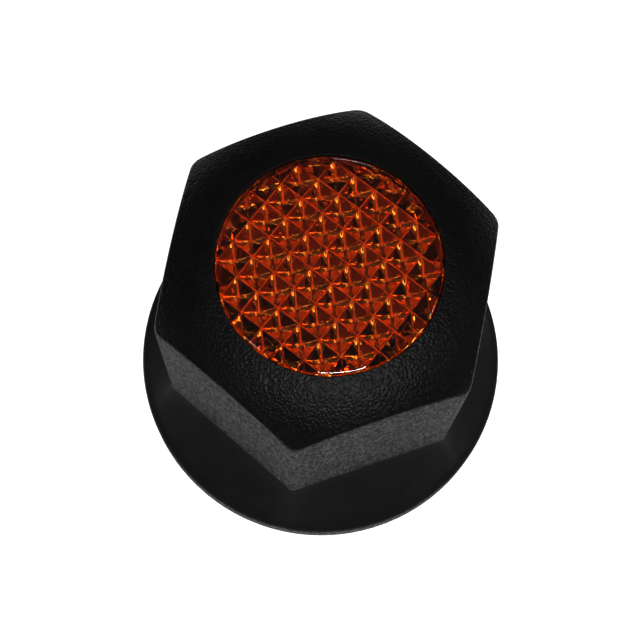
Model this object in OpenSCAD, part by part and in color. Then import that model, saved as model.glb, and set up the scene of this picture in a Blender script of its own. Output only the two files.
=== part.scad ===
// Reflector cap: a hexagonal, domed cap with an amber reflector in its crown, on a flared
// round base that pushes over a hexagonal nut and grips it with six spring clips.
// Origin: centre of the base ring, on the surface that the base stands on. +Z is up.
// Two opposite corners of the hexagon lie on the Y axis.

/* [Nut] */
// Width of the nut across its flats
nut_af = 33; // [27:0.5:41]
// Space for the spring clips between the nut and the sleeve, on each flat
clip_space = 1.2; // [1:0.1:1.6]

/* [Hexagonal cap] */
// Rounding of the hexagon's six upright edges
hex_corner_r = 2; // [0.8:0.1:3]
// Height at which the hexagon meets the flared base
hex_foot_z = 14.3; // [12:0.1:17]
// Wall thickness of the cap
cap_wall = 1.6; // [1.2:0.1:2]
// Radius of the rounded shoulder between the reflector and the flats
shoulder_r = 17; // [13:0.5:24]
// Drop of the shoulder from the reflector's rim to the hexagon's corners
crown_drop = 5.1; // [3:0.1:7]

/* [Reflector] */
// Diameter of the amber reflector
lens_d = 29; // [24:0.5:30]
// Height of the reflector's rim above the base
lens_rim_z = 51.9; // [49:0.1:64]
// Rise of the reflector's middle above its rim
lens_crown = 0.5; // [0.2:0.1:1]
// Depth of the reflector's side wall
lens_depth = 5.6; // [5:0.1:7]
// Thickness of the reflector's side wall
lens_wall = 0.8; // [0.6:0.1:1.4]
// Thickness of clear plastic above the prisms
lens_face_t = 1.6; // [1.4:0.1:2.2]
// Distance between neighbouring prisms
prism_pitch = 3.35; // [2.6:0.05:3.6]
// Height of each prism
prism_h = 2.3; // [1.6:0.1:2.6]
// Width of the flat strip between neighbouring prisms
prism_strip = 0.3; // [0.1:0.05:0.5]
// Direction of the rows of prisms
prism_angle = -27; // [-45:1:45]
// Thickness of the plate that closes the reflector's back
back_t = 0.8; // [0.6:0.1:1.2]
// Thickness of the metallised film behind the prisms
film_t = 0.15; // [0.1:0.05:0.3]
// Thickness of the adhesive pad under the reflector
pad_t = 0.8; // [0.5:0.1:1.2]
// Thickness of the floor under the reflector
seat_t = 1.8; // [1.4:0.1:2.4]

/* [Flared base] */
// Width of the flare beyond the hexagon's corners
flare_w = 4.65; // [3:0.05:8]
// Height of the upright lip round the base ring
lip_h = 2.6; // [2:0.1:4]
// Rounding of the lip's upper edge
lip_round = 1.2; // [0.6:0.1:1.6]
// Wall thickness of the flared skirt
skirt_wall = 2; // [1.6:0.1:2.4]
// Thickness of the ledge that the cap stands on
ledge_t = 4.3; // [2:0.1:5]
// Thickness of the stiffening ribs under the skirt
rib_t = 1.4; // [1:0.1:2]
// Number of stiffening ribs under the skirt
rib_count = 12; // [6:6:18]
// Wall thickness of the hexagonal sleeve inside the cap
sleeve_wall = 1.3; // [1.1:0.1:1.6]
// Height of the sleeve's upper rim
sleeve_top_z = 34; // [30:0.5:36]

/* [Spring clips] */
// Thickness of the spring strip
clip_t = 0.35; // [0.3:0.05:0.45]
// Width of the spring strip
clip_w = 9; // [6:0.5:11]
// Length of each clip's outer leg
clip_leg = 7; // [5:0.5:9]
// Height of each clip's free tip
clip_tip_z = 9; // [7:0.5:12]
// How far each clip, at rest, reaches in past the nut's flat
clip_grip = 0.25; // [0.1:0.05:0.4]

/* [Fits] */
// Radial gap between the cap and the sleeve, and round the reflector
fit_gap = 0.15; // [0.1:0.05:0.25]
// Height of the snap ridges on the sleeve
snap_h = 0.5; // [0.3:0.1:0.6]
// Width of the snap ridges along the flats
snap_w = 3.5; // [2.5:0.5:4]
// Distance of the snap ridges below the sleeve's rim
snap_drop = 4; // [3:0.5:6]

/* [Hidden] */

$fn = 96;
flats = 6;
turn = 360 / flats;
skin = 0.01;                                  // overlap of neighbouring shapes in one piece
lip_land = 0.1;                               // flat left on each prism's tip

lens_r = lens_d / 2;
pocket_r = lens_r + fit_gap;
lens_back_z = lens_rim_z - lens_depth;
valley_z = lens_rim_z - lens_face_t;
tip_z = valley_z - prism_h;
pad_z = lens_back_z - back_t - pad_t;         // floor of the pocket in the cap's crown
seat_z = pad_z - seat_t;

socket_af = nut_af + 2 * clip_space;
sleeve_af = socket_af + 2 * sleeve_wall;
cavity_af = sleeve_af + 2 * fit_gap;
hex_af = cavity_af + 2 * cap_wall;            // the cap's own width across its flats
corner_reach = (hex_af / 2 - hex_corner_r) / cos(30) + hex_corner_r;

// the shoulder's arc runs from the upper edge of the pocket to the hexagon's corners
shoulder_run = corner_reach - pocket_r;
shoulder_chord = norm([shoulder_run, crown_drop]);
shoulder_sag = sqrt(pow(shoulder_r, 2) - pow(shoulder_chord / 2, 2));
shoulder_offset = (corner_reach + pocket_r) / 2 - shoulder_sag * crown_drop / shoulder_chord;
shoulder_z = lens_rim_z - crown_drop / 2 - shoulder_sag * shoulder_run / shoulder_chord;

cavity_corner_r = max(0.4, hex_corner_r - cap_wall);
sleeve_corner_r = cavity_corner_r + 0.6;
core_af = socket_af + 2 * skirt_wall;         // hexagonal wall round the socket, under the ledge
flange_r = corner_reach + flare_w;
skirt_foot_z = lip_h + lip_round;
skirt_hollow = hex_foot_z - ledge_t;          // depth of the hollow under the skirt
lead_in = 2;                                  // bevel at the mouth of the socket

clip_pocket = clip_t + 0.1;                   // recess for the clip's outer leg
clip_side_gap = 0.2;
snap_offset = (clip_w + snap_w) / 2 + 1.6;
snap_z = sleeve_top_z - snap_drop;
spigot_wall = 0.8;                            // raised ring that centres the back plate
spigot_h = 0.7;
crown_sphere_r = (pow(lens_r, 2) + pow(lens_crown, 2)) / (2 * lens_crown);
prism_rows = ceil(lens_r / prism_pitch);

cap_colour = [0.09, 0.09, 0.09];
base_colour = [0.07, 0.07, 0.07];
amber = [0.85, 0.3, 0.02];
film_colour = [0.8, 0.8, 0.78];
plate_colour = [0.55, 0.55, 0.53];
pad_colour = [0.16, 0.16, 0.17];
steel = [0.68, 0.69, 0.7];

// Hexagon with rounded corners, two of them on the Y axis
module hex_outline(af, corner_r) {
    reach = (af / 2 - corner_r) / cos(30);
    function tip(i) = reach * [cos(30 + i * turn), sin(30 + i * turn)];
    polygon([for (i = [0:flats - 1], side = [-30, 30])
        tip(i) + corner_r * [cos(30 + i * turn + side), sin(30 + i * turn + side)]]);
    for (i = [0:flats - 1]) translate(tip(i)) circle(r = corner_r);
}

// Upright hexagonal bar from one height to another
module hex_bar(af, corner_r, low, high) {
    translate([0, 0, low]) linear_extrude(high - low) hex_outline(af, corner_r);
}

// Round body under the shoulder's arc: a disc on the axis with a rounded rim
module dome(arc_r, low) {
    beyond = hex_af;
    top = shoulder_z + arc_r;
    rotate_extrude() intersection() {
        union() {
            translate([shoulder_offset, shoulder_z]) circle(r = arc_r);
            translate([0, low]) square([shoulder_offset, top - low]);
            translate([0, low]) square([shoulder_offset + arc_r, shoulder_z - low]);
        }
        translate([0, low]) square([beyond, top - low]);
    }
}

// Small wedge across a flat, for the snap between sleeve and cap
module snap_ridge(height, width) {
    rotate([90, 0, 0]) linear_extrude(width, center = true)
        polygon([[-height, -2 * height], [-height, 2 * height], [0, 2 * height], [height, 0],
                 [0, -2 * height]]);
}

module on_each_snap() {
    for (i = [0:flats - 1], side = [-1, 1])
        rotate([0, 0, i * turn]) translate([sleeve_af / 2, side * snap_offset, snap_z]) children();
}

// Textured hexagonal cap with its domed crown and the pocket that the reflector sits in
module hex_cap() {
    color(cap_colour) difference() {
        intersection() {
            hex_bar(hex_af, hex_corner_r, hex_foot_z, lens_rim_z);
            dome(shoulder_r, hex_foot_z - 1);
        }
        difference() {
            intersection() {
                hex_bar(cavity_af, cavity_corner_r, hex_foot_z - 1, lens_rim_z);
                dome(shoulder_r - cap_wall, hex_foot_z - 2);
            }
            translate([0, 0, seat_z]) cylinder(h = lens_rim_z - seat_z, r = pocket_r + cap_wall);
        }
        translate([0, 0, pad_z]) cylinder(h = lens_rim_z, r = pocket_r);
        on_each_snap() snap_ridge(snap_h + fit_gap, snap_w + 2 * clip_side_gap);
    }
}

// Round lip with a rounded upper edge, at the foot of the skirt
module lip() {
    rotate_extrude() union() {
        square([flange_r, lip_h]);
        square([flange_r - lip_round, skirt_foot_z]);
        translate([flange_r - lip_round, lip_h]) circle(r = lip_round, $fn = 48);
    }
}

// Flared skirt: a cone, cut by one slanted plane below each flat of the cap, so that it is
// round at its foot and hexagonal where the cap stands on it
module skirt() {
    foot_r = flange_r - lip_round;
    rise = hex_foot_z - skirt_foot_z;
    lean = atan((foot_r - hex_af / 2) / rise);
    difference() {
        rotate_extrude() polygon([[0, skirt_foot_z - skin], [foot_r, skirt_foot_z - skin],
                                  [foot_r, skirt_foot_z], [corner_reach, hex_foot_z], [0, hex_foot_z]]);
        for (i = [0:flats - 1]) rotate([0, 0, i * turn]) translate([hex_af / 2, 0, hex_foot_z])
            rotate([0, -lean, 0]) translate([0, -hex_af, -2 * rise]) cube([hex_af, 2 * hex_af, 3 * rise]);
    }
}

// Ring-shaped hollow under the skirt, between its outer wall and the socket's wall
module skirt_core() {
    rim = flange_r - skirt_wall;
    top_r = hex_af / 2 + (rim - hex_af / 2) * (hex_foot_z - skirt_hollow) / hex_foot_z - skirt_wall / 2;
    difference() {
        rotate_extrude() polygon([[0, -1], [rim, -1], [rim, lip_h - 1], [top_r, skirt_hollow],
                                  [0, skirt_hollow]]);
        hex_bar(core_af, sleeve_corner_r, -2, skirt_hollow + 1);
        for (i = [0:rib_count - 1]) rotate([0, 0, i * 360 / rib_count])
            translate([0, -rib_t / 2, 1]) cube([flange_r, rib_t, skirt_hollow]);
    }
}

// Smooth flared base with the hexagonal sleeve that the cap snaps over
module flared_base() {
    clip_x = sleeve_af / 2 - clip_pocket;
    color(base_colour) difference() {
        union() {
            lip();
            skirt();
            hex_bar(sleeve_af, sleeve_corner_r, skirt_foot_z, sleeve_top_z);
            on_each_snap() snap_ridge(snap_h, snap_w);
        }
        hex_bar(socket_af, sleeve_corner_r, -1, sleeve_top_z + 1);
        translate([0, 0, -1]) cylinder(h = lead_in + 2, r1 = socket_af / 2 + lead_in + 1,
                                       r2 = socket_af / 2 - 1);
        skirt_core();
        for (i = [0:flats - 1]) rotate([0, 0, i * turn])
            translate([clip_x, -clip_w / 2 - clip_side_gap, sleeve_top_z - clip_leg - clip_side_gap])
                cube([clip_pocket + 1, clip_w + 2 * clip_side_gap, clip_leg + 2]);
    }
}

// Outer shape of the reflector: upright side, bevelled rim and a slightly crowned face
module lens_blank() {
    edge = 0.4;                               // bevel round the face
    rotate_extrude() intersection() {
        polygon([[0, lens_back_z], [lens_r, lens_back_z], [lens_r, lens_rim_z - edge],
                 [lens_r - edge, lens_rim_z + edge / 2], [0, lens_rim_z + lens_crown + edge]]);
        translate([0, lens_rim_z + lens_crown - crown_sphere_r]) circle(r = crown_sphere_r, $fn = 720);
        translate([0, lens_back_z]) square([lens_r, lens_depth + 2]);
    }
}

// Grooves of V section with a narrow flat bottom, in two crossed directions, which leave square
// prisms standing tips down, one of them on the axis
module prism_grooves() {
    half = (prism_pitch - lip_land) / 2;
    intersection() {
        translate([0, 0, tip_z - 1]) cylinder(h = prism_h + 2, r = lens_r - lens_wall);
        for (across = [0, 90]) rotate([0, 0, prism_angle + across])
            for (row = [-prism_rows:prism_rows - 1])
                translate([0, (row + 0.5) * prism_pitch, tip_z]) rotate([90, 0, 90])
                    linear_extrude(2 * lens_d, center = true)
                        polygon([[-half, 0], [-half, -0.5], [half, -0.5], [half, 0],
                                 [prism_strip / 2, prism_h], [-prism_strip / 2, prism_h]]);
    }
}

// Amber reflector: smooth crowned face, square prisms behind it and an upright side wall
module reflector_lens() {
    color(amber, 0.8) difference() {
        lens_blank();
        translate([0, 0, lens_back_z - 1]) cylinder(h = tip_z - lens_back_z + 1, r = lens_r - lens_wall);
        prism_grooves();
    }
}

// Metallised film that lies on the back plate
module reflector_film() {
    film_r = lens_r - lens_wall - 2 * fit_gap - spigot_wall;
    color(film_colour) translate([0, 0, lens_back_z]) cylinder(h = film_t, r = film_r);
}

// Plate welded to the reflector's side wall, with a raised ring that centres it
module reflector_back() {
    outer = lens_r - lens_wall - fit_gap;
    color(plate_colour) union() {
        translate([0, 0, lens_back_z - back_t]) cylinder(h = back_t, r = lens_r);
        translate([0, 0, lens_back_z - skin]) difference() {
            cylinder(h = spigot_h + skin, r = outer);
            translate([0, 0, -1]) cylinder(h = spigot_h + 2, r = outer - spigot_wall);
        }
    }
}

// Foam pad with adhesive on both faces, between the pocket's floor and the back plate
module adhesive_pad() {
    pad_margin = 1.5;
    vent_r = 4;
    color(pad_colour) translate([0, 0, pad_z]) difference() {
        cylinder(h = pad_t, r = lens_r - pad_margin);
        translate([0, 0, -1]) cylinder(h = pad_t + 2, r = vent_r);
    }
}

// Spring clip number i (1 to 6), a hairpin of spring strip hooked over the sleeve's rim
module nut_clip(i) {
    outer_x = sleeve_af / 2 - clip_pocket + clip_t / 2;
    inner_x = socket_af / 2 - 0.05 - clip_t / 2;
    bow_in = inner_x - clip_t / 2 - (nut_af / 2 - clip_grip);
    bend_r = (outer_x - inner_x) / 2;
    bend_steps = 10;
    bow_steps = 16;
    rim_z = sleeve_top_z + 0.05;
    bend = [for (k = [0:bend_steps]) let (a = 180 * k / bend_steps)
        [inner_x + bend_r + bend_r * cos(a), rim_z + bend_r * sin(a)]];
    bow = [for (k = [1:bow_steps]) let (s = k / bow_steps)
        [inner_x - bow_in * pow(sin(180 * s), 2), rim_z + (clip_tip_z - rim_z) * s]];
    line = concat([[outer_x, sleeve_top_z - clip_leg]], bend, bow);
    last = len(line) - 1;
    function along(k) = line[min(k + 1, last)] - line[max(k - 1, 0)];
    function side(k) = let (d = along(k)) [-d[1], d[0]] / norm(d) * clip_t / 2;
    strip = concat([for (k = [0:last]) line[k] + side(k)],
                   [for (k = [last:-1:0]) line[k] - side(k)]);
    color(steel) rotate([0, 0, (i - 1) * turn]) rotate([90, 0, 0])
        linear_extrude(clip_w, center = true) polygon(strip);
}

hex_cap();
flared_base();
reflector_lens();
reflector_film();
reflector_back();
adhesive_pad();
nut_clip(1);  // nut_clip_1
nut_clip(2);  // nut_clip_2
nut_clip(3);  // nut_clip_3
nut_clip(4);  // nut_clip_4
nut_clip(5);  // nut_clip_5
nut_clip(6);  // nut_clip_6
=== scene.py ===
"""Hexagonal reflector cap: detailed shells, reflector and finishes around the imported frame."""

import logging
import math
from dataclasses import dataclass, field
from enum import Enum

import bpy
import numpy as np
from mathutils import Matrix, Vector


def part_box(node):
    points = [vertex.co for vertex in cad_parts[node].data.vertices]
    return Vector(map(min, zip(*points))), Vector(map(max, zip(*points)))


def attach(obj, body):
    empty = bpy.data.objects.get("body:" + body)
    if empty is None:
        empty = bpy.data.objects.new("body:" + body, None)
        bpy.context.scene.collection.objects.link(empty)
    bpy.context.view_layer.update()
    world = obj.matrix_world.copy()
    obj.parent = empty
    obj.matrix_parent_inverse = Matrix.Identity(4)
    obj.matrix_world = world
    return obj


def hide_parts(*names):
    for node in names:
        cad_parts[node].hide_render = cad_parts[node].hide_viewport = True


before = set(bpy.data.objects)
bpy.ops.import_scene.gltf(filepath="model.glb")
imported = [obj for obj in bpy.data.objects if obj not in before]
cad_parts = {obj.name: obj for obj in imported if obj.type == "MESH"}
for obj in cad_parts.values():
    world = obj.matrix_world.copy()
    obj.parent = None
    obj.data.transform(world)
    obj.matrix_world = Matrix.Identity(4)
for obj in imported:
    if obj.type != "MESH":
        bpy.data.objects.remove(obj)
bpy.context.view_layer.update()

log = logging.getLogger("reflector_cap")

MM = 0.001  # one millimetre, in metres
BODY = "root"  # the frame's only body
FLATS = 6  # sides of the hexagon
FOOT_SHARPNESS = 0.45  # share of the cap's corner radius that is left at its foot
SMALLEST_CORNER_R = 0.4 * MM  # corner radius that an inset outline keeps at least
NOISE_MIDDLE = (0.3, 0.7)  # the part of a noise's range that holds nearly all of it


class Zone(Enum):
    """Which face of a moulding a vertex lies on, as its grain reads it."""

    INSIDE = 0.0
    TOP = 1.0
    SIDE = 2.0
    FOOT = 3.0


# ---------------------------------------------------------------------------------- outlines
@dataclass(frozen=True)
class HexOutline:
    """Hexagon with rounded corners, two of them on the Y axis.

    Attributes:
        apothem: Distance from the axis to each flat.
        corner_r: Radius of the rounded corners.
    """

    apothem: float
    corner_r: float

    @classmethod
    def from_reach(cls, apothem: float, reach: float) -> "HexOutline":
        """Finds the corner radius that gives a known distance from the axis to the corners.

        Args:
            apothem: Distance from the axis to each flat.
            reach: Distance from the axis to each rounded corner.

        Returns:
            The outline.
        """
        stretch = 1.0 / math.cos(math.pi / FLATS)
        return cls(apothem, (apothem * stretch - reach) / (stretch - 1.0))

    def inset(self, wall: float) -> "HexOutline":
        """Returns the outline a wall's thickness further in."""
        return HexOutline(self.apothem - wall, max(self.corner_r - wall, SMALLEST_CORNER_R))

    def sharpened(self, share: float) -> "HexOutline":
        """Returns the outline with its corner radius cut to a share."""
        return HexOutline(self.apothem, self.corner_r * share)

    def radius(self, theta: np.ndarray) -> np.ndarray:
        """Distance from the axis to the outline.

        On a flat it is the apothem over the cosine of the angle from the flat's middle. On a
        corner it is the far crossing of a ray with the corner's circle.

        Args:
            theta: Angles about the axis, in radians.

        Returns:
            One radius per angle.
        """
        sector = math.tau / FLATS
        from_flat = np.abs((theta + sector / 2) % sector - sector / 2)
        from_corner = sector / 2 - from_flat
        centre = (self.apothem - self.corner_r) / math.cos(sector / 2)
        end_of_flat = math.atan((self.apothem - self.corner_r) * math.tan(sector / 2) / self.apothem)
        flat = self.apothem / np.cos(from_flat)
        under_root = self.corner_r**2 - (centre * np.sin(from_corner)) ** 2
        corner = centre * np.cos(from_corner) + np.sqrt(np.maximum(under_root, 0.0))
        return np.where(from_flat > end_of_flat, corner, flat)


def sector_angles(per_flat: int, gather: float) -> np.ndarray:
    """Angles round the hexagon, gathered near its corners by a hyperbolic sine.

    Args:
        per_flat: Number of angles in each sixth of a turn.
        gather: How strongly they gather; small values are even.

    Returns:
        All the angles, in radians.
    """
    share = (np.arange(per_flat) + 0.5) / per_flat * 2.0 - 1.0
    sector = math.tau / FLATS
    spread = sector / 2 * np.sinh(gather * share) / math.sinh(gather)
    corners = sector / 2 + sector * np.arange(FLATS)
    return (corners[:, None] + spread[None, :]).ravel()


# ------------------------------------------------------------------------------ turned shells
@dataclass
class Corner:
    """One corner of a turned profile, for every angle at once.

    Attributes:
        radius: Distance from the axis, one per angle.
        height: Height, one per angle.
        ease: How far along each side the corner is rounded away.
        steps: Number of rings in the rounding.
        zone: Face of the moulding that the corner belongs to.
    """

    radius: np.ndarray
    height: np.ndarray
    ease: float = 0.0
    steps: int = 5
    zone: Zone = Zone.INSIDE


@dataclass
class TurnedShell:
    """Closed surface swept round the axis, its profile changing with the angle.

    The point at ring i and angle j is (r cos a, r sin a, z), with r and z taken from the
    profile's corners. A rounded corner is a quadratic curve that leaves one side and joins the
    next at a distance called ease, or just short of half of that side where it is short.

    Attributes:
        theta: Angles about the axis, in radians.
        rings: Radius, height and zone of every ring so far.
    """

    MOST_OF_SIDE = 0.48
    SHORTEST_SIDE = 1e-9

    theta: np.ndarray
    rings: list[tuple[np.ndarray, np.ndarray, float]] = field(default_factory=list)

    def even(self, value: float) -> np.ndarray:
        """Returns one value repeated for every angle."""
        return np.full_like(self.theta, value)

    def corner(self, radius: np.ndarray | float, height: np.ndarray | float, ease: float = 0.0,
               zone: Zone = Zone.INSIDE, steps: int = 5) -> Corner:
        """Makes a corner from numbers or from one number per angle."""
        return Corner(radius + self.even(0.0), height + self.even(0.0), ease, steps, zone)

    def trace(self, corners: list[Corner], closed: bool) -> None:
        """Turns corners into rings.

        Args:
            corners: The profile's corners in order.
            closed: Whether the last corner joins the first.
        """
        count = len(corners)
        for index, here in enumerate(corners):
            point = np.stack([here.radius, here.height])
            if here.ease == 0.0 or (not closed and index in (0, count - 1)):
                self.rings.append((here.radius, here.height, here.zone.value))
                continue
            before, after = corners[index - 1], corners[(index + 1) % count]
            start = self._towards(point, before, here.ease)
            end = self._towards(point, after, here.ease)
            for step in np.linspace(0.0, 1.0, here.steps):
                eased = (1 - step) ** 2 * start + 2 * step * (1 - step) * point + step**2 * end
                zone = here.zone.value * (1 - step) + after.zone.value * step
                self.rings.append((eased[0], eased[1], zone))

    @staticmethod
    def _towards(point: np.ndarray, other: Corner, distance: float) -> np.ndarray:
        """Steps from a corner along one of its sides.

        Args:
            point: Radius and height of the corner, for every angle.
            other: The corner at the side's other end.
            distance: How far to step.

        Returns:
            Radius and height of the place reached, for every angle.
        """
        line = np.stack([other.radius, other.height]) - point
        length = np.maximum(np.hypot(line[0], line[1]), TurnedShell.SHORTEST_SIDE)
        return point + line / length * np.minimum(distance, length * TurnedShell.MOST_OF_SIDE)

    def points(self) -> tuple[np.ndarray, np.ndarray]:
        """Returns every point of the rings and its zone, ring after ring."""
        radius = np.stack([ring[0] for ring in self.rings])
        height = np.stack([ring[1] for ring in self.rings])
        places = np.stack([radius * np.cos(self.theta), radius * np.sin(self.theta), height], axis=-1)
        zones = np.repeat([ring[2] for ring in self.rings], len(self.theta))
        return places.reshape(-1, 3), zones

    def piece(self, name: str, closed: bool) -> bpy.types.Object:
        """Builds the piece from the rings.

        Args:
            name: Name of the piece.
            closed: True joins the last ring to the first; False closes both ends at a pole.

        Returns:
            The new object, with its zones in the attribute called zone.
        """
        verts, zones = self.points()
        rings, angles = len(self.rings), len(self.theta)
        faces = ring_quads(rings, angles, closed).tolist()
        if not closed:
            first, last = np.arange(angles), np.arange(angles) + (rings - 1) * angles
            poles = np.array([[0.0, 0.0, verts[first, 2].mean()], [0.0, 0.0, verts[last, 2].mean()]])
            faces += fan(first, len(verts)).tolist() + fan(last[::-1], len(verts) + 1).tolist()
            verts = np.concatenate([verts, poles])
            zones = np.concatenate([zones, [zones[0], zones[-1]]])
        return make_piece(name, verts, faces, zones)


def make_piece(name: str, verts: np.ndarray, faces: list[list[int]],
               zones: np.ndarray | None = None) -> bpy.types.Object:
    """Makes an object from points and faces, and turns it the right way out.

    Args:
        name: Name of the piece.
        verts: Points, one row each.
        faces: Corners of every face.
        zones: One value per point, for the attribute called zone; such a piece is shaded smooth.

    Returns:
        The new object.
    """
    mesh = bpy.data.meshes.new(name)
    mesh.from_pydata(verts.tolist(), [], faces)
    if zones is not None:
        values = mesh.attributes.new("zone", "FLOAT", "POINT")
        values.data.foreach_set("value", zones.astype(np.float32))
        mesh.polygons.foreach_set("use_smooth", np.ones(len(mesh.polygons), dtype=bool))
    mesh.update()
    piece = bpy.data.objects.new(name, mesh)
    bpy.context.scene.collection.objects.link(piece)
    if signed_volume(piece) < 0:
        mesh.flip_normals()
    return piece


def ring_quads(rings: int, angles: int, closed: bool) -> np.ndarray:
    """Returns the four corners of every face between neighbouring rings of a grid.

    Args:
        rings: Number of rings.
        angles: Number of points in each ring.
        closed: Whether the last ring joins the first.

    Returns:
        One row of four point numbers per face.
    """
    index = np.arange(rings * angles).reshape(rings, angles)
    above = np.roll(index, -1, axis=0) if closed else index[1:]
    below = index if closed else index[:-1]
    corners = [below, np.roll(below, -1, axis=1), np.roll(above, -1, axis=1), above]
    return np.stack(corners, axis=-1).reshape(-1, 4)


def fan(ring: np.ndarray, pole: int) -> np.ndarray:
    """Returns the triangles that close a ring at a pole."""
    return np.stack([np.full(len(ring), pole), np.roll(ring, -1), ring], axis=-1)


def signed_volume(piece: bpy.types.Object) -> float:
    """Adds up the volumes of the tetrahedra from the origin to every triangle.

    Args:
        piece: An object with a closed mesh.

    Returns:
        The volume that the mesh encloses, negative when it is inside out.
    """
    mesh = piece.data
    mesh.calc_loop_triangles()
    corners = np.empty(len(mesh.loop_triangles) * 3, dtype=np.int32)
    mesh.loop_triangles.foreach_get("vertices", corners)
    places = np.empty(len(mesh.vertices) * 3)
    mesh.vertices.foreach_get("co", places)
    a, b, c = places.reshape(-1, 3)[corners.reshape(-1, 3)].transpose(1, 0, 2)
    return float(np.einsum("ij,ij->i", a, np.cross(b, c)).sum() / 6.0)


# ---------------------------------------------------------------------------------- finishes
class Nodes:
    """Short way to build a material's node tree."""

    WARP_SCALE = 0.8
    CELL_SMOOTHNESS = 0.3

    def __init__(self, name: str) -> None:
        """Starts an empty material with a Principled shader."""
        self.material = bpy.data.materials.new(name)
        self.material.use_nodes = True
        self.tree = self.material.node_tree
        self.shader = self.tree.nodes["Principled BSDF"]

    def add(self, kind: str, values: dict[str | int, object] | None = None,
            **settings: object) -> bpy.types.Node:
        """Adds a node.

        Args:
            kind: Blender's name of the node's type.
            values: Input sockets and what goes into them: a socket to link, or a value.
            settings: Properties of the node.

        Returns:
            The node.
        """
        node = self.tree.nodes.new(kind)
        for key, value in settings.items():
            setattr(node, key, value)
        for key, value in (values or {}).items():
            self.feed(node.inputs[key], value)
        return node

    def feed(self, socket: bpy.types.NodeSocket, value: object) -> None:
        """Links a socket to another, or sets its value."""
        if isinstance(value, bpy.types.NodeSocket):
            self.tree.links.new(value, socket)
        else:
            socket.default_value = value

    def place(self, rise: float = 1.0) -> bpy.types.NodeSocket:
        """Reads the Object coordinates.

        Args:
            rise: Factor on the height.

        Returns:
            The coordinates.
        """
        place = self.add("ShaderNodeTexCoord").outputs["Object"]
        if rise == 1.0:
            return place
        node = self.add("ShaderNodeMapping", {"Vector": place, "Scale": (1.0, 1.0, rise)})
        return node.outputs["Vector"]

    def noise(self, scale: float, detail: float = 2.0, roughness: float = 0.5,
              rise: float = 1.0) -> bpy.types.NodeSocket:
        """Adds a noise.

        Args:
            scale: Lumps per metre.
            detail: How many finer noises are laid over it.
            roughness: How strongly they show.
            rise: Factor on the height; below one the lumps are drawn out upwards.

        Returns:
            The noise, mostly between 0.3 and 0.7.
        """
        node = self.add("ShaderNodeTexNoise", {"Vector": self.place(rise), "Scale": scale,
                                               "Detail": detail, "Roughness": roughness})
        return node.outputs["Fac"]

    def cells(self, scale: float, warp: float = 0.0) -> bpy.types.NodeSocket:
        """Returns the smooth distance to the nearest of so many cells per metre.

        Args:
            scale: Cells per metre.
            warp: How far a noise pushes the cells about, in cell widths.

        Returns:
            The distance, nought at each cell's middle.
        """
        place = self.place()
        if warp:
            push = self.add("ShaderNodeTexNoise", {"Vector": place, "Scale": scale * self.WARP_SCALE,
                                                   "Detail": 1.0})
            away = self.add("ShaderNodeVectorMath", {"Scale": warp / scale}, operation="SCALE")
            self.feed(away.inputs[0], push.outputs["Color"])
            moved = self.add("ShaderNodeVectorMath", operation="ADD")
            self.feed(moved.inputs[0], place)
            self.feed(moved.inputs[1], away.outputs["Vector"])
            place = moved.outputs["Vector"]
        node = self.add("ShaderNodeTexVoronoi", {"Vector": place, "Scale": scale,
                                                 "Smoothness": self.CELL_SMOOTHNESS},
                        feature="SMOOTH_F1")
        return node.outputs["Distance"]

    def ramp(self, source: bpy.types.NodeSocket, low: float, high: float, out_low: float = 0.0,
             out_high: float = 1.0) -> bpy.types.NodeSocket:
        """Maps a range of a value onto another range, clamped.

        Args:
            source: The value.
            low: Where the range starts.
            high: Where the range ends.
            out_low: What the start becomes.
            out_high: What the end becomes.

        Returns:
            The mapped value.
        """
        node = self.add("ShaderNodeMapRange", {"Value": source, "From Min": low, "From Max": high,
                                               "To Min": out_low, "To Max": out_high})
        return node.outputs["Result"]

    def sum(self, operation: str, a: object, b: object) -> bpy.types.NodeSocket:
        """Works out one arithmetic operation.

        Args:
            operation: Blender's name of the operation.
            a: First value, or a socket.
            b: Second value, or a socket.

        Returns:
            The result.
        """
        node = self.add("ShaderNodeMath", operation=operation)
        self.feed(node.inputs[0], a)
        self.feed(node.inputs[1], b)
        return node.outputs["Value"]

    def mix(self, factor: object, a: object, b: object) -> bpy.types.NodeSocket:
        """Blends two colours.

        Args:
            factor: Share of the second colour.
            a: First colour, or a socket.
            b: Second colour, or a socket.

        Returns:
            The blend.
        """
        node = self.add("ShaderNodeMix", data_type="RGBA")
        self.feed(node.inputs["Factor"], factor)
        self.feed(node.inputs["A"], a)
        self.feed(node.inputs["B"], b)
        return node.outputs["Result"]

    def blend(self, factor: object, a: object, b: object) -> bpy.types.NodeSocket:
        """Blends two values.

        Args:
            factor: Share of the second value.
            a: First value, or a socket.
            b: Second value, or a socket.

        Returns:
            The blend.
        """
        node = self.add("ShaderNodeMix", data_type="FLOAT")
        self.feed(node.inputs["Factor"], factor)
        self.feed(node.inputs["A"], a)
        self.feed(node.inputs["B"], b)
        return node.outputs["Result"]

    def attribute(self, name: str) -> bpy.types.NodeSocket:
        """Returns one of the piece's own attributes."""
        return self.add("ShaderNodeAttribute", attribute_name=name).outputs["Fac"]

    def bump(self, height: bpy.types.NodeSocket, distance: float, strength: object = 1.0) -> None:
        """Raises the surface by a height times a distance.

        Args:
            height: The height, from nought to one.
            distance: The distance in metres.
            strength: Share of the relief that shows.
        """
        node = self.add("ShaderNodeBump", {"Height": height, "Distance": distance, "Strength": strength})
        self.feed(self.shader.inputs["Normal"], node.outputs["Normal"])

    def set(self, **values: object) -> None:
        """Sets sockets of the shader, with underscores for spaces in their names."""
        for key, value in values.items():
            self.feed(self.shader.inputs[key.replace("_", " ")], value)


def grey(level: float, warmth: float = 0.0) -> tuple[float, float, float, float]:
    """Returns a grey, a little warmer where warmth is above nought."""
    return (level * (1 + warmth), level, level * (1 - warmth), 1.0)


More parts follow.
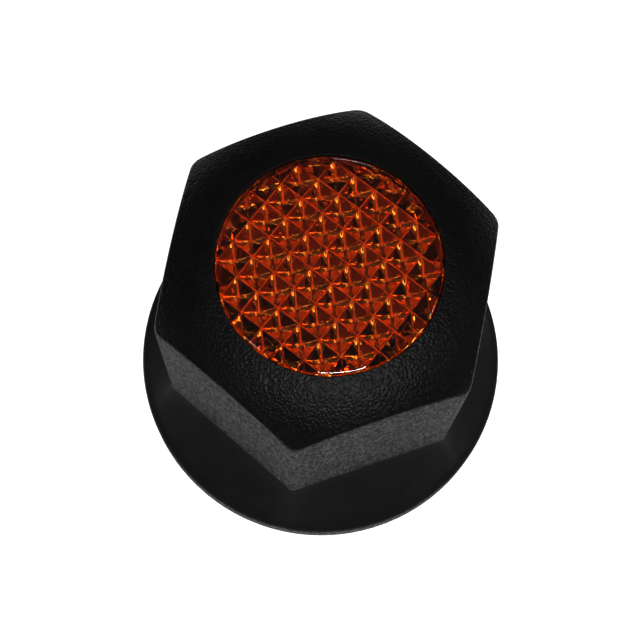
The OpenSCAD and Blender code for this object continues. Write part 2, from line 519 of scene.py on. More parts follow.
@dataclass(frozen=True)
class SparkGrainAndSheen:
    """Spark-eroded grain with dark pits drawn out up the wall, on a pale grey that is painted sheen for the
    side light the grain catches.

    Attributes:
        level: Paleness of the plastic between the pits, which is painted sheen.
        pit_level: Paleness in the pits.
        cell: Width of a pit.
        rise: How many times shorter than wide a pit is; below one it is taller.
        spread: Where in the noise the pits end and the full paleness begins.
        pock_share: Number of wider pocks to each fine pit, along a line.
        pock_spread: The same as spread, for the pocks.
        patch_scale: Paler and darker patches per metre.
        patch_depth: How much paler or darker than the level a patch is.
        warmth: How warm the grain's grey is.
    """

    level: float = 0.047
    pit_level: float = 0.0015
    cell: float = 0.40 * MM
    rise: float = 0.42
    spread: tuple[float, float] = (0.42, 0.54)
    pock_share: float = 0.7
    pock_spread: tuple[float, float] = (0.40, 0.47)
    patch_scale: float = 420.0
    patch_depth: float = 0.25
    warmth: float = 0.03

    def height(self, nodes: Nodes) -> bpy.types.NodeSocket:
        """Multiplies fine pits by wider pocks.

        Args:
            nodes: The material's nodes.

        Returns:
            The grain's height, nought at the bottom of a pit and one between the pits.
        """
        fine = nodes.ramp(nodes.noise(1.0 / self.cell, 3.0, 0.75, self.rise), *self.spread)
        pocks = nodes.ramp(nodes.noise(self.pock_share / self.cell, 1.0, 0.5, self.rise), *self.pock_spread)
        return nodes.sum("MULTIPLY", fine, pocks)

    def tone(self, nodes: Nodes, height: bpy.types.NodeSocket) -> bpy.types.NodeSocket:
        """Colours the grain, patchy over a few millimetres, its pale grey a painted sheen.

        Args:
            nodes: The material's nodes.
            height: The grain's height.

        Returns:
            The colour.
        """
        patches = nodes.ramp(nodes.noise(self.patch_scale, 3.0, 0.6), *NOISE_MIDDLE)
        # Pale grey between the dark pits: painted sheen for the side light on the grain.
        pale = nodes.mix(patches, grey(self.level * (1.0 - self.patch_depth), self.warmth),
                         grey(self.level * (1.0 + self.patch_depth), self.warmth))
        return nodes.mix(height, grey(self.pit_level), pale)


@dataclass(frozen=True)
class GrainedPlastic:
    """Moulded black plastic: leather-like grain on the crown, spark grain on the walls, whose pale grey is
    a painted sheen for the side light they catch.

    The wall's foot takes the base's plain black. Each span gives the zones over which one finish
    passes into the next.
    """

    crown_level: float = 0.0022
    foot_level: float = 0.0052
    crown_cell: float = 0.38 * MM
    crown_relief: float = 0.085 * MM
    wall_relief: float = 0.03 * MM
    crown_warp: float = 0.35
    crown_roughness: tuple[float, float] = (0.30, 0.46)
    wall_roughness: float = 0.7
    mottle_depth: float = 0.2
    specular: float = 0.045
    outside_span: tuple[float, float] = (0.2, 0.8)
    wall_span: tuple[float, float] = (1.25, 1.75)
    foot_span: tuple[float, float] = (2.35, 2.95)
    spark: SparkGrainAndSheen = SparkGrainAndSheen()

    def material(self) -> bpy.types.Material:
        """Builds the material.

        Returns:
            The material, which reads the attribute called zone.
        """
        nodes = Nodes("grained_black_plastic")
        zone = nodes.attribute("zone")
        outside = nodes.ramp(zone, *self.outside_span)
        wall = nodes.ramp(zone, *self.wall_span)
        foot = nodes.ramp(zone, *self.foot_span)
        pebbles = nodes.sum("MULTIPLY", nodes.cells(1.0 / self.crown_cell, self.crown_warp), -1.0)
        lumps = nodes.sum("MULTIPLY", nodes.noise(0.8 / self.crown_cell, 3.0, 0.65), 0.8)
        crown = nodes.sum("ADD", pebbles, lumps)
        height = self.spark.height(nodes)
        spark = nodes.sum("MULTIPLY", height, self.wall_relief / self.crown_relief)
        nodes.bump(nodes.blend(wall, crown, spark), self.crown_relief, outside)
        mottling = nodes.ramp(nodes.noise(260.0, 3.0, 0.6), *NOISE_MIDDLE, 1.0 - self.mottle_depth,
                              1.0 + self.mottle_depth)
        # The walls' pale grey is painted sheen for the side light that they catch; the crown keeps the dark
        # plastic.
        side = nodes.mix(foot, self.spark.tone(nodes, height), grey(self.foot_level))
        tone = nodes.mix(wall, grey(self.crown_level), side)
        shaded = nodes.add("ShaderNodeHueSaturation", {"Color": tone, "Value": mottling})
        polish = nodes.ramp(nodes.noise(1500.0, 2.0), *NOISE_MIDDLE, *self.crown_roughness)
        nodes.set(Base_Color=shaded.outputs["Color"],
                  Roughness=nodes.blend(wall, polish, self.wall_roughness),
                  Specular_IOR_Level=self.specular)
        return nodes.material


@dataclass(frozen=True)
class SatinPlastic:
    """Smooth black plastic with faint flow marks; its side zone, the base's lip, carries a spark grain
    painted pale as a painted highlight for the light on the lip's rounded edge.
    """

    name: str = "satin_black_plastic"
    level: float = 0.0052
    roughness: float = 0.5
    specular: float = 0.008
    relief: float = 0.012 * MM
    lip_roughness: float = 0.7
    lip_highlight_span: tuple[float, float] = (1.3, 1.9)
    # Pale grain on the base's lip: a painted highlight for the light its rounded edge catches.
    lip: SparkGrainAndSheen = SparkGrainAndSheen(level=0.10, pit_level=0.03, cell=0.4 * MM, rise=1.0)

    def material(self) -> bpy.types.Material:
        """Builds the material.

        Returns:
            The material, which reads the attribute called zone.
        """
        nodes = Nodes(self.name)
        flow = nodes.noise(240.0, 3.0, 0.6)
        fine = nodes.noise(5200.0, 2.0)
        tone = nodes.mix(nodes.ramp(flow, *NOISE_MIDDLE), grey(self.level * 0.85),
                         grey(self.level * 1.2, 0.02))
        # Painted highlight: the lip's pale grain stands in for the light on its rounded edge.
        pale = self.lip.tone(nodes, self.lip.height(nodes))
        side = nodes.ramp(nodes.attribute("zone"), *self.lip_highlight_span)
        roughness = nodes.ramp(fine, *NOISE_MIDDLE, self.roughness - 0.05, self.roughness + 0.06)
        nodes.bump(nodes.sum("ADD", flow, nodes.sum("MULTIPLY", fine, 0.35)), self.relief)
        nodes.set(Base_Color=nodes.mix(side, tone, pale),
                  Roughness=nodes.blend(side, roughness, self.lip_roughness),
                  Specular_IOR_Level=self.specular)
        return nodes.material


@dataclass(frozen=True)
class AmberAcrylic:
    """Clear amber acrylic, deep orange through its thickness, with faint moulding waves."""

    tint: tuple[float, float, float, float] = (0.92, 0.21, 0.014, 1.0)
    streak_depth: float = 0.93
    roughness: float = 0.015
    ior: float = 1.49
    relief: float = 0.004 * MM

    def material(self) -> bpy.types.Material:
        """Builds the material.

        Returns:
            The material.
        """
        nodes = Nodes("amber_acrylic")
        waves = nodes.noise(420.0, 2.0)
        nodes.bump(waves, self.relief)
        streaks = nodes.ramp(nodes.noise(300.0, 2.0), 0.35, 0.65)
        deeper = tuple(channel * self.streak_depth for channel in self.tint[:3]) + (1.0,)
        nodes.set(Base_Color=nodes.mix(streaks, self.tint, deeper), Roughness=self.roughness,
                  IOR=self.ior, Transmission_Weight=1.0)
        return nodes.material


@dataclass(frozen=True)
class MetalFilm:
    """Pale film behind the prisms, which scatters more than it mirrors, with a faint wrinkle."""

    level: float = 0.74
    roughness: tuple[float, float] = (0.5, 0.65)
    relief: float = 0.03 * MM

    def material(self) -> bpy.types.Material:
        """Builds the material.

        Returns:
            The material.
        """
        nodes = Nodes("metallised_film")
        wrinkle = nodes.noise(700.0, 3.0, 0.6)
        nodes.bump(wrinkle, self.relief)
        tone = nodes.mix(wrinkle, grey(self.level * 0.85, 0.02), grey(self.level, 0.02))
        nodes.set(Base_Color=tone, Roughness=nodes.ramp(wrinkle, *NOISE_MIDDLE, *self.roughness))
        return nodes.material


@dataclass(frozen=True)
class ClosedFoam:
    """Dark closed-cell foam."""

    level: float = 0.02
    roughness: float = 0.9
    pores_per_metre: float = 3200.0
    relief: float = 0.08 * MM

    def material(self) -> bpy.types.Material:
        """Builds the material.

        Returns:
            The material.
        """
        nodes = Nodes("closed_foam")
        pores = nodes.cells(self.pores_per_metre)
        nodes.bump(pores, self.relief)
        tone = nodes.mix(nodes.ramp(pores, 0.1, 0.6), grey(self.level * 0.5), grey(self.level * 1.4))
        nodes.set(Base_Color=tone, Roughness=self.roughness)
        return nodes.material


@dataclass(frozen=True)
class SpringSteel:
    """Bright rolled strip with fine lines along its length and slightly tarnished patches."""

    level: float = 0.58
    lines_per_metre: tuple[float, float, float] = (9000.0, 9000.0, 260.0)
    roughness: tuple[float, float] = (0.2, 0.34)
    tarnish_roughness: float = 0.12
    relief: float = 0.006 * MM

    def material(self) -> bpy.types.Material:
        """Builds the material.

        Returns:
            The material.
        """
        nodes = Nodes("spring_steel")
        mapping = nodes.add("ShaderNodeMapping", {"Vector": nodes.place(), "Scale": self.lines_per_metre})
        lines = nodes.add("ShaderNodeTexNoise", {"Vector": mapping.outputs["Vector"], "Scale": 1.0,
                                                 "Detail": 3.0})
        drawn = lines.outputs["Fac"]
        patches = nodes.ramp(nodes.noise(420.0, 4.0, 0.65), 0.42, 0.66)
        nodes.bump(drawn, self.relief)
        tone = nodes.mix(patches, grey(self.level, 0.01), grey(self.level * 0.62, 0.05))
        roughness = nodes.sum("ADD", nodes.ramp(drawn, *NOISE_MIDDLE, *self.roughness),
                              nodes.sum("MULTIPLY", patches, self.tarnish_roughness))
        nodes.set(Base_Color=tone, Metallic=1.0, Roughness=roughness)
        return nodes.material


def dress_node(node: str, material: bpy.types.Material) -> None:
    """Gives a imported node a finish, through its own material slots.

    Args:
        node: Name of the node.
        material: The finish.
    """
    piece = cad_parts[node]
    for holder in piece.material_slots:
        holder.material = material


# ---------------------------------------------------------------------------- sub-assemblies
@dataclass
class HexCap:
    """Grained cap: hexagonal walls, domed crown and the round pocket for the reflector.

    Sizes are in metres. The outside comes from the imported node's box.

    Attributes:
        wall: Thickness of the walls and of the crown.
        shoulder_r: Radius of the crown's arc.
        crown_drop: Fall of the crown from the pocket's rim to the corners.
        pocket_gap: Space between the reflector's side and the pocket.
        pocket_depth: Depth of the pocket.
        seat: Thickness of the pocket's floor.
        rim_ease: Rounding between walls and crown.
        pocket_ease: Rounding of the pocket's rim.
        floor_ease: Rounding where the pocket's side meets its floor.
        foot_band: Height of the plain band at the foot, above which the grain fades in.
        splay_power: How soon the corners grow rounder above the foot.
        pole_share: Share of the radius at which the flat ends give way to a pole.
        wall_rings: Rings up the wall.
        crown_rings: Rings over the crown.
        per_flat: Angles in each sixth of a turn.
        gather: How strongly the angles gather near the corners.
    """

    wall: float = 1.6 * MM
    shoulder_r: float = 17.0 * MM
    crown_drop: float = 5.1 * MM
    pocket_gap: float = 0.15 * MM
    pocket_depth: float = 7.2 * MM
    seat: float = 1.8 * MM
    rim_ease: float = 0.9 * MM
    pocket_ease: float = 0.3 * MM
    floor_ease: float = 0.2 * MM
    foot_band: float = 0.04 * MM
    splay_power: float = 0.6
    pole_share: float = 0.05
    wall_rings: int = 12
    crown_rings: int = 44
    per_flat: int = 44
    gather: float = 2.4

    def __post_init__(self) -> None:
        """Reads the outside from the frame."""
        low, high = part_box("hex_cap")
        lens_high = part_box("reflector_lens")[1]
        self.outline = HexOutline.from_reach(high[0], high[1])
        self.foot, self.top = low[2], high[2]
        self.pocket_r = lens_high[0] + self.pocket_gap
        reach = high[1]
        run = reach - self.pocket_r
        chord = math.hypot(run, self.crown_drop)
        sag = math.sqrt(self.shoulder_r**2 - (chord / 2) ** 2)
        self.arc_ring_r = (reach + self.pocket_r) / 2 - sag * self.crown_drop / chord
        self.arc_height = self.top - self.crown_drop / 2 - sag * run / chord

    def shoulder(self, radius: np.ndarray, inset: float = 0.0) -> np.ndarray:
        """Height of the domed crown: a circle's arc about a ring, level inside that ring.

        Args:
            radius: Distances from the axis.
            inset: How far under the surface.

        Returns:
            One height per distance.
        """
        out = np.maximum(radius - self.arc_ring_r, 0.0)
        arc_r = self.shoulder_r - inset
        return self.arc_height + np.sqrt(np.maximum(arc_r**2 - out**2, (0.1 * arc_r) ** 2))

    def build(self) -> bpy.types.Object:
        """Builds the cap as one closed shell: outside, pocket, then the inside back to the foot.

        Returns:
            The piece.
        """
        shell = TurnedShell(sector_angles(self.per_flat, self.gather))
        edge = self.outline.radius(shell.theta)
        splay = self.outline.sharpened(FOOT_SHARPNESS).radius(shell.theta) - edge
        inner = self.outline.inset(self.wall).radius(shell.theta)
        edge_z = self.shoulder(edge)
        corners = [shell.corner(inner, self.foot), shell.corner(edge + splay, self.foot, 0.0, Zone.FOOT),
                   shell.corner(edge + splay, self.foot + self.foot_band, 0.0, Zone.FOOT)]
        for share in np.linspace(0.06, 0.9, self.wall_rings):
            radius = edge + splay * (1.0 - share) ** self.splay_power
            corners.append(shell.corner(radius, self.foot + (edge_z - self.foot) * share, 0.0, Zone.SIDE))
        corners.append(shell.corner(edge, edge_z, self.rim_ease, Zone.SIDE, 9))
        for share in np.linspace(0.93, 0.03, self.crown_rings):
            radius = self.pocket_r + (edge - self.pocket_r) * share
            corners.append(shell.corner(radius, self.shoulder(radius), 0.0, Zone.TOP))
        pocket_z = float(self.shoulder(np.array([self.pocket_r]))[0])
        floor = pocket_z - self.pocket_depth
        corners.append(shell.corner(self.pocket_r, pocket_z, self.pocket_ease, Zone.TOP, 5))
        corners.append(shell.corner(self.pocket_r, floor, self.floor_ease))
        shell.trace(corners + [shell.corner(self.pocket_r * self.pole_share, floor)], closed=False)
        outside = shell.rings
        under = floor - self.seat
        boss = self.pocket_r + self.wall
        shell.rings = []
        inside = [shell.corner(boss * self.pole_share, under), shell.corner(boss, under, 0.5 * MM)]
        inside.append(shell.corner(boss, self.shoulder(np.array([boss]), self.wall)[0], 0.4 * MM))
        inside += [shell.corner(boss + (inner - boss) * share,
                                self.shoulder(boss + (inner - boss) * share, self.wall))
                   for share in np.linspace(0.25, 1.0, 6)]
        shell.trace(inside + [shell.corner(inner, self.foot)], closed=False)
        shell.rings = shell.rings + outside[1:]
        return shell.piece("cap_moulding", closed=False)

    def dress(self, piece: bpy.types.Object) -> None:
        """Gives the cap its grain.

        Args:
            piece: The cap.
        """
        piece.data.materials.append(GrainedPlastic().material())
        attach(piece, BODY)
        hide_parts("hex_cap")


@dataclass
class FlaredBase:
    """Smooth base: flared skirt, round lip, hexagonal socket and sleeve, ribs underneath.

    Sizes are in metres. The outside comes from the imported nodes' boxes.

    Attributes:
        lip: Height of the upright lip.
        lip_round: Height of the rounding between the lip and the skirt.
        skirt_wall: Thickness of the skirt and of the socket's wall.
        roof_drop: How far the hollow's roof lies below the cap's foot.
        sleeve_wall: Thickness of the sleeve inside the cap.
        cap_wall: Thickness of the cap's wall round the sleeve.
        fit_gap: Space between the cap's wall and the sleeve.
        clip_recess: Depth of the recess for the clips' outer legs.
        clip_leg: Height of that recess.
        lead_in: Height of the flare that guides the nut in.
        flare_power: How slowly the skirt leaves the upright below the cap.
        rib_count: Number of ribs.
        rib_t: Thickness of a rib.
        per_flat: Angles in each sixth of a turn.
        gather: How strongly the angles gather near the corners.
    """

    lip: float = 2.6 * MM
    lip_round: float = 1.2 * MM
    skirt_wall: float = 2.0 * MM
    roof_drop: float = 4.3 * MM
    sleeve_wall: float = 1.3 * MM
    cap_wall: float = 1.6 * MM
    fit_gap: float = 0.15 * MM
    clip_recess: float = 0.46 * MM
    clip_leg: float = 7.4 * MM
    lead_in: float = 2.0 * MM
    flare_power: float = 1.25
    rib_count: int = 12
    rib_t: float = 1.4 * MM
    per_flat: int = 32
    gather: float = 2.4

    def __post_init__(self) -> None:
        """Reads the outside from the frame."""
        low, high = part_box("flared_base")
        cap_low, cap_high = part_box("hex_cap")
        self.flange_r, self.rim = high[0], high[2]
        self.bottom, self.foot = low[2], cap_low[2]
        self.outline = HexOutline.from_reach(cap_high[0], cap_high[1])
        self.sleeve = self.outline.inset(self.cap_wall + self.fit_gap)
        self.socket = HexOutline(self.sleeve.apothem - self.sleeve_wall, 1.0 * MM)
        self.core = HexOutline(self.socket.apothem + self.skirt_wall, 1.0 * MM)

    def build(self) -> bpy.types.Object:
        """Builds the base as one closed ring: skirt, lip, hollow, socket and sleeve.

        Returns:
            The piece.
        """
        shell = TurnedShell(sector_angles(self.per_flat, self.gather))
        theta = shell.theta
        hexagon, sleeve = self.outline.sharpened(FOOT_SHARPNESS).radius(theta), self.sleeve.radius(theta)
        socket, core = self.socket.radius(theta), self.core.radius(theta)
        lip_foot = self.flange_r - self.lip_round * 0.5
        lip_top = self.bottom + self.lip + self.lip_round
        hollow_r = self.flange_r - self.skirt_wall
        roof = self.foot - self.roof_drop
        shares = np.concatenate([[0.0, 0.003], np.linspace(0.03, 0.93, 21)])
        flare = [self._flare(shell, hexagon, lip_foot, lip_top, share) for share in shares]
        recess_foot = self.rim - self.clip_leg
        corners = [shell.corner(sleeve, self.foot - 0.02 * MM)] + flare
        corners += [
            shell.corner(self.flange_r, lip_top - 0.3 * MM, 0.9 * MM, Zone.TOP, 9),
            shell.corner(self.flange_r, self.bottom, 0.25 * MM, Zone.SIDE, 4),
            shell.corner(hollow_r, self.bottom, 0.2 * MM, Zone.INSIDE, 3),
            shell.corner(hollow_r, self.bottom + self.lip * 0.6, 0.8 * MM),
            shell.corner(np.maximum(hexagon - 0.4 * MM, core + 0.5 * MM), roof, 0.8 * MM),
            shell.corner(core, roof, 0.2 * MM),
            shell.corner(core, self.bottom, 0.2 * MM, Zone.INSIDE, 3),
            shell.corner(np.minimum(socket + self.lead_in * 0.8, core - 0.3 * MM), self.bottom, 0.1 * MM),
            shell.corner(socket, self.bottom + self.lead_in, 0.6 * MM),
            shell.corner(socket, self.rim, 0.2 * MM, Zone.INSIDE, 3),
            shell.corner(sleeve - self.clip_recess, self.rim, 0.2 * MM, Zone.INSIDE, 3),
            shell.corner(sleeve - self.clip_recess, recess_foot, 0.05 * MM, Zone.INSIDE, 2),
            shell.corner(sleeve, recess_foot, 0.05 * MM, Zone.INSIDE, 2),
        ]
        shell.trace(corners, closed=True)
        return shell.piece("base_moulding", closed=True)

    def _flare(self, shell: TurnedShell, hexagon: np.ndarray, lip_foot: float, lip_top: float,
               share: float) -> Corner:
        """One ring of the skirt, from the hexagon at nought to the lip at one.

        The radius blends from the hexagon to a circle, by a power of the share that starts it
        upright like the wall above, and the height falls evenly.

        Args:
            shell: The shell that the ring is for.
            hexagon: Distance from the axis to the hexagon, one per angle.
            lip_foot: Radius of the circle where the skirt meets the lip.
            lip_top: Height of that circle.
            share: How far down the skirt the ring lies.

        Returns:
            The ring, as a corner without rounding.
        """
        eased = share**self.flare_power
        radius = hexagon + (lip_foot - hexagon) * eased
        return shell.corner(radius, self.foot + (lip_top - self.foot) * share, 0.0, Zone.TOP)

    def build_ribs(self) -> bpy.types.Object:
        """Builds the stiffening ribs under the skirt, from the socket's wall to the skirt's.

        Each rib is a slab with a sloping lower edge, turned about the axis by its share of a turn.

        Returns:
            The piece, all the ribs in one mesh.
        """
        inner = self.core.apothem - 0.5 * MM
        outer = self.flange_r - self.skirt_wall + 0.4 * MM
        roof = self.foot - self.roof_drop + 0.4 * MM
        top_outer = self.outline.apothem + 1.2 * MM
        profile = np.array([[inner, self.bottom + 1.0 * MM], [outer, self.bottom + 1.0 * MM],
                            [outer, self.bottom + 2.2 * MM], [top_outer, roof], [inner, roof]])
        count = len(profile)
        both = np.concatenate([profile, profile])
        side = np.repeat([-self.rib_t / 2, self.rib_t / 2], count)
        turns = np.arange(self.rib_count) * math.tau / self.rib_count
        x = both[:, 0] * np.cos(turns)[:, None] - side * np.sin(turns)[:, None]
        y = both[:, 0] * np.sin(turns)[:, None] + side * np.cos(turns)[:, None]
        z = np.broadcast_to(both[:, 1], x.shape)
        verts = np.stack([x, y, z], axis=-1).reshape(-1, 3)
        ring = np.arange(count)
        ahead = np.roll(ring, -1)
        walls = np.stack([ring, ahead, ahead + count, ring + count], axis=-1)
        caps = [ring[::-1], ring + count]
        one = walls.tolist() + [cap.tolist() for cap in caps]
        faces = [[corner + 2 * count * rib for corner in face]
                 for rib in range(self.rib_count) for face in one]
        return make_piece("base_ribs", verts, faces)

    def dress(self, base: bpy.types.Object, ribs: bpy.types.Object) -> None:
        """Gives the base and its ribs their satin plastic.

        Args:
            base: The base.
            ribs: The ribs.
        """
        satin = SatinPlastic().material()
        for piece in (base, ribs):
            piece.data.materials.append(satin)
            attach(piece, BODY)
        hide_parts("flared_base")


@dataclass
class Reflector:
    """Amber lens with prisms on its back, the film behind it and the plate that closes it.

    Sizes are in metres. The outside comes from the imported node's box.

    Attributes:
        rim_drop: How far the rim lies below the middle of the face.
        rim_ease: Rounding of the rim.
        skirt_wall: Thickness of the upright side wall.
        face_t: Thickness from the rim's height to the prisms' valleys.
        prism_h: Height of the prisms.
        land: Width of the flat land round each prism, as a share of half the pitch.
        pitch: Distance between neighbouring prisms.
        turn_deg: Direction of the rows of prisms.
        soften: How soft the folds are, as a share of half the pitch.
        cell_steps: Steps of the grid across one prism.
    """

    rim_drop: float = 0.5 * MM
    rim_ease: float = 0.45 * MM
    skirt_wall: float = 0.30 * MM
    face_t: float = 1.6 * MM
    prism_h: float = 2.3 * MM
    land: float = 0.09
    pitch: float = 3.35 * MM
    turn_deg: float = -27.0
    soften: float = 0.10
    cell_steps: int = 28

    def __post_init__(self) -> None:
        """Reads the outside from the frame."""
        low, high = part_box("reflector_lens")
        self.radius, self.back, self.crown_top = high[0], low[2], high[2]
        self.rim = self.crown_top - self.rim_drop
        self.valley = self.rim - self.face_t
        self.field_r = self.radius - self.skirt_wall

    def prism_depth(self, along: np.ndarray, across: np.ndarray) -> np.ndarray:
        """How far the prisms stand below their valleys.

        Each square cell holds a pyramid: its depth falls off with the larger of the distances
        from the cell's middle along its two directions. A narrow flat land runs between the
        pyramids. Every fold is softened by the square root of a square plus a small constant.

        Args:
            along: Distances along the rows of prisms.
            across: Distances across the rows of prisms.

        Returns:
            Depths, from nought in the valleys to nearly the prism's height at the tips.
        """
        u, v = self._fold(along / self.pitch), self._fold(across / self.pitch)
        larger = (u + v + np.sqrt((u - v) ** 2 + self.soften**2)) / 2
        return self.prism_h * (1.0 - larger)

    def _fold(self, value: np.ndarray) -> np.ndarray:
        """Softened wave: nought in the middle of each cell, rising evenly to one at the land.

        Args:
            value: Distances in cells.

        Returns:
            The wave at each distance.
        """
        wave = np.sqrt((2.0 * (value - np.round(value))) ** 2 + self.soften**2) - self.soften
        border = 1.0 - self.land - wave
        above = (border + np.sqrt(border**2 + (0.3 * self.soften) ** 2)) / 2
        return 1.0 - above / (1.0 - self.land)

    def prism_grid(self) -> tuple[np.ndarray, np.ndarray, np.ndarray]:
        """Square grid of points over the prisms, trimmed to the field's circle.

        The grid's lines fall on the prisms' borders and its diagonals on their hips. Points
        outside the circle move in along their radius to lie on it.

        Returns:
            The points, the triangles, and the numbers of the points on the circle, in the
            order of their angles.
        """
        step = self.pitch / self.cell_steps
        half = math.ceil(self.field_r / step) + 1
        lines = np.arange(-half, half + 1) * step
        along, across = np.meshgrid(lines, lines, indexing="ij")
        radius = np.hypot(along, across)
        outside = radius > self.field_r - 0.3 * step
        pull = np.where(outside, self.field_r / np.maximum(radius, step), 1.0)
        along, across = along * pull, across * pull
        turn = math.radians(self.turn_deg)
        x = along * math.cos(turn) - across * math.sin(turn)
        y = along * math.sin(turn) + across * math.cos(turn)
        points = np.stack([x, y, self.valley - self.prism_depth(along, across)], axis=-1).reshape(-1, 3)
        index = np.arange(len(points)).reshape(x.shape)
        a, b, c, d = index[:-1, :-1], index[1:, :-1], index[1:, 1:], index[:-1, 1:]
        middle = (lines[:-1] + lines[1:]) / 2
        lean = middle / self.pitch - np.round(middle / self.pitch)
        rising = np.outer(lean, lean) > 0
        first = np.where(rising[..., None], np.stack([a, b, c], -1), np.stack([a, b, d], -1))
        second = np.where(rising[..., None], np.stack([a, c, d], -1), np.stack([b, c, d], -1))
        kept = ~outside.ravel()[np.stack([a, b, c, d])].all(axis=0)
        triangles = np.concatenate([first[kept], second[kept]])
        used = np.unique(triangles)
        number = np.full(len(points), -1)
        number[used] = np.arange(len(used))
        rim = np.flatnonzero(outside.ravel()[used])
        points = points[used]
        rim = rim[np.argsort(np.arctan2(points[rim, 1], points[rim, 0]))]
        return points, number[triangles], rim

    def build(self) -> bpy.types.Object:
        """Builds the lens as one closed surface: face, side, foot, inner side and prisms.

        Returns:
            The piece.
        """
        prisms, triangles, rim = self.prism_grid()
        shell = TurnedShell(np.arctan2(prisms[rim, 1], prisms[rim, 0]))
        crown = self.crown_top - self.rim
        corners = [shell.corner(self.radius * share, self.rim + crown * (1 - share**2), 0.0, Zone.TOP)
                   for share in np.linspace(0.15, 0.95, 6)]
        corners += [
            shell.corner(self.radius, self.rim, self.rim_ease, Zone.TOP, 7),
            shell.corner(self.radius, self.back, 0.1 * MM, Zone.TOP, 3),
            shell.corner(self.field_r, self.back, 0.1 * MM, Zone.TOP, 3),
            shell.corner(self.field_r, self.back + 0.3 * MM, 0.0, Zone.TOP),
        ]
        shell.trace(corners, closed=False)
        verts, _ = shell.points()
        angles, rings = len(shell.theta), len(shell.rings)
        start = len(verts) + 1
        last = np.arange(angles) + (rings - 1) * angles
        join = np.stack([last, np.roll(last, -1), np.roll(rim, -1) + start, rim + start], axis=-1)
        pole = np.array([[0.0, 0.0, self.crown_top]])
        faces = ring_quads(rings, angles, closed=False).tolist()
        faces += fan(np.arange(angles), len(verts)).tolist()
        faces += join.tolist() + (triangles + start).tolist()
        verts = np.concatenate([verts, pole, prisms])
        return make_piece("amber_reflector", verts, faces, np.full(len(verts), Zone.TOP.value))

    def dress(self, piece: bpy.types.Object) -> None:
        """Gives the lens its acrylic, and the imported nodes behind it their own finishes.

        Args:
            piece: The lens.
        """
        piece.data.materials.append(AmberAcrylic().material())
        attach(piece, BODY)
        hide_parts("reflector_lens")
        dress_node("reflector_film", MetalFilm().material())
        plate = SatinPlastic(name="pale_back_plastic", level=0.45, specular=0.4)
        dress_node("reflector_back", plate.material())
        dress_node("adhesive_pad", ClosedFoam().material())


@dataclass
class NutClips:
    """The six spring clips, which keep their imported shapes."""

    prefix: str = "nut_clip_"

    def dress(self) -> None:
        """Gives every clip its steel."""
        steel = SpringSteel().material()
        for node in sorted(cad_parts):
            if node.startswith(self.prefix):
                dress_node(node, steel)


# --------------------------------------------------------------------------------- the studio
@dataclass(frozen=True)
class SoftBox:
    """One rectangular area light that looks at the cap.

    Attributes:
        name: Name of the light.
        azimuth_deg: Direction it stands in, turned from +X towards +Y.
        elevation_deg: Angle above the horizon.
        distance: Distance from the cap, in metres.
        size: Width and height, in metres.
        power: Power in watts.
    """

    name: str
    azimuth_deg: float
    elevation_deg: float
    distance: float
    size: tuple[float, float]
    power: float

    def place(self, target: Vector) -> None:
        """Makes the light and turns it to face a point.

        Args:
            target: The point.
        """
        azimuth, elevation = math.radians(self.azimuth_deg), math.radians(self.elevation_deg)
        away = Vector((math.cos(elevation) * math.cos(azimuth), math.cos(elevation) * math.sin(azimuth),
                       math.sin(elevation)))
        lamp = bpy.data.lights.new(self.name, "AREA")
        lamp.shape, lamp.size, lamp.size_y = "RECTANGLE", self.size[0], self.size[1]
        lamp.energy = self.power
        holder = bpy.data.objects.new(self.name, lamp)
        holder.location = target + away * self.distance
        holder.rotation_euler = away.to_track_quat("Z", "Y").to_euler()
        bpy.context.scene.collection.objects.link(holder)


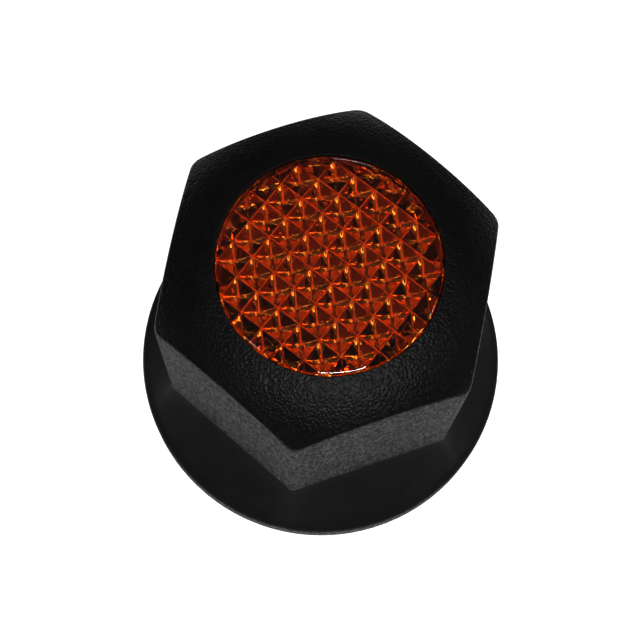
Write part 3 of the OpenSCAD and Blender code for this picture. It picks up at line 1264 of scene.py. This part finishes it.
@dataclass
class Studio:
    """Floor, lights, sky and the main camera.

    Attributes:
        camera_distance: Distance from the camera to the frame's origin.
        elevation_deg: Height of the camera above the horizon.
        azimuth_deg: Direction of the camera, turned from -Y towards +X.
        pan_deg: Turn of the camera's aim to the side.
        tilt_deg: Turn of the camera's aim upwards.
        roll_deg: Turn of the camera about its aim.
        focal_mm: Focal length of the camera.
        floor_half: Half the width of the floor.
        sky: Strength of the even light all round.
        floor_grey: Paleness of the floor where it does not glow.
        floor_glow: Glow of the floor near the cap, painted light that fills the cap's shadow.
        floor_far_glow: Glow of the floor further out.
        floor_fade: Distances between which the glow falls off.
        boxes: The area lights.
    """

    camera_distance: float = 233.42 * MM
    elevation_deg: float = 76.38
    azimuth_deg: float = 5.69
    pan_deg: float = 0.17
    tilt_deg: float = 1.55
    roll_deg: float = -5.39
    focal_mm: float = 81.42
    floor_half: float = 1.6
    sky: float = 0.078
    floor_grey: float = 0.4
    floor_glow: float = 0.92
    floor_far_glow: float = 0.2
    floor_fade: tuple[float, float] = (0.11, 0.24)
    boxes: tuple[SoftBox, ...] = (
        SoftBox("key_box", -64.0, 67.0, 0.7, (0.20, 0.17), 6.4),
        SoftBox("back_box", 92.0, 50.0, 0.8, (0.10, 0.10), 0.3),
        SoftBox("right_box", 5.0, 35.0, 0.8, (0.06, 0.20), 0.5),
        SoftBox("left_box", -138.0, 47.0, 0.8, (0.08, 0.26), 0.7),
    )

    def build(self) -> None:
        """Builds the whole studio."""
        self._floor()
        self._sky()
        top = Vector((0.0, 0.0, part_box("hex_cap")[1][2]))
        for box in self.boxes:
            box.place(top)
        self._camera()

    def _floor(self) -> None:
        """Lays the pale floor, which glows most near the cap: painted light that washes out the cap's
        shadow and lights it from below.
        """
        half, low = self.floor_half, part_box("flared_base")[0][2]
        corners = [(-half, -half, low), (half, -half, low), (half, half, low), (-half, half, low)]
        mesh = bpy.data.meshes.new("floor")
        mesh.from_pydata(corners, [], [(0, 1, 2, 3)])
        floor = bpy.data.objects.new("floor", mesh)
        bpy.context.scene.collection.objects.link(floor)
        nodes = Nodes("glowing_floor")
        reach = nodes.add("ShaderNodeVectorMath", {0: nodes.place()}, operation="LENGTH").outputs["Value"]
        # Painted light: the floor glows most round the cap, which washes out its shadow.
        glow = nodes.ramp(reach, *self.floor_fade, self.floor_glow, self.floor_far_glow)
        nodes.set(Base_Color=grey(self.floor_grey, 0.005), Roughness=0.9, Specular_IOR_Level=0.1,
                  Emission_Color=grey(1.0), Emission_Strength=glow)
        mesh.materials.append(nodes.material)

    def _sky(self) -> None:
        """Fills the room with an even pale light."""
        world = bpy.data.worlds.new("room")
        world.use_nodes = True
        back = world.node_tree.nodes["Background"]
        back.inputs["Color"].default_value = (1.0, 1.0, 1.0, 1.0)
        back.inputs["Strength"].default_value = self.sky
        bpy.context.scene.world = world

    def _camera(self) -> None:
        """Stands the camera at its distance from the frame's origin and turns its aim."""
        elevation, azimuth = math.radians(self.elevation_deg), math.radians(self.azimuth_deg)
        place = Vector((math.cos(elevation) * math.sin(azimuth), -math.cos(elevation) * math.cos(azimuth),
                        math.sin(elevation))) * self.camera_distance
        ahead = -place.normalized()
        right = ahead.cross(Vector((0.0, 0.0, 1.0))).normalized()
        up = right.cross(ahead)
        pan = Matrix.Rotation(math.radians(self.pan_deg), 3, up)
        ahead, right = pan @ ahead, pan @ right
        tilt = Matrix.Rotation(math.radians(self.tilt_deg), 3, right)
        ahead, up = tilt @ ahead, tilt @ up
        roll = Matrix.Rotation(math.radians(self.roll_deg), 3, ahead)
        right, up = roll @ right, roll @ up
        camera_data = bpy.data.cameras.new("main_camera")
        camera_data.lens = self.focal_mm
        camera_data.clip_start = 0.01
        camera = bpy.data.objects.new("main_camera", camera_data)
        turn = Matrix((right, up, -ahead)).transposed()
        camera.matrix_world = Matrix.Translation(place) @ turn.to_4x4()
        bpy.context.scene.collection.objects.link(camera)
        bpy.context.scene.camera = camera


def report(piece: bpy.types.Object) -> None:
    """Logs a piece's name and size."""
    log.info("%s: %d points, %d faces, %.0f mm3", piece.name, len(piece.data.vertices),
             len(piece.data.polygons), signed_volume(piece) / MM**3)


def main() -> None:
    """Builds the studio and every sub-assembly, and logs each new piece's size."""
    logging.basicConfig(level=logging.INFO, format="%(name)s %(message)s")
    bpy.context.scene.view_settings.view_transform = "Standard"
    Studio().build()
    cap = HexCap()
    cap_piece = cap.build()
    cap.dress(cap_piece)
    base = FlaredBase()
    base_piece, ribs = base.build(), base.build_ribs()
    base.dress(base_piece, ribs)
    reflector = Reflector()
    lens = reflector.build()
    reflector.dress(lens)
    NutClips().dress()
    for piece in (cap_piece, base_piece, ribs, lens):
        report(piece)


if __name__ == "__main__":
    main()
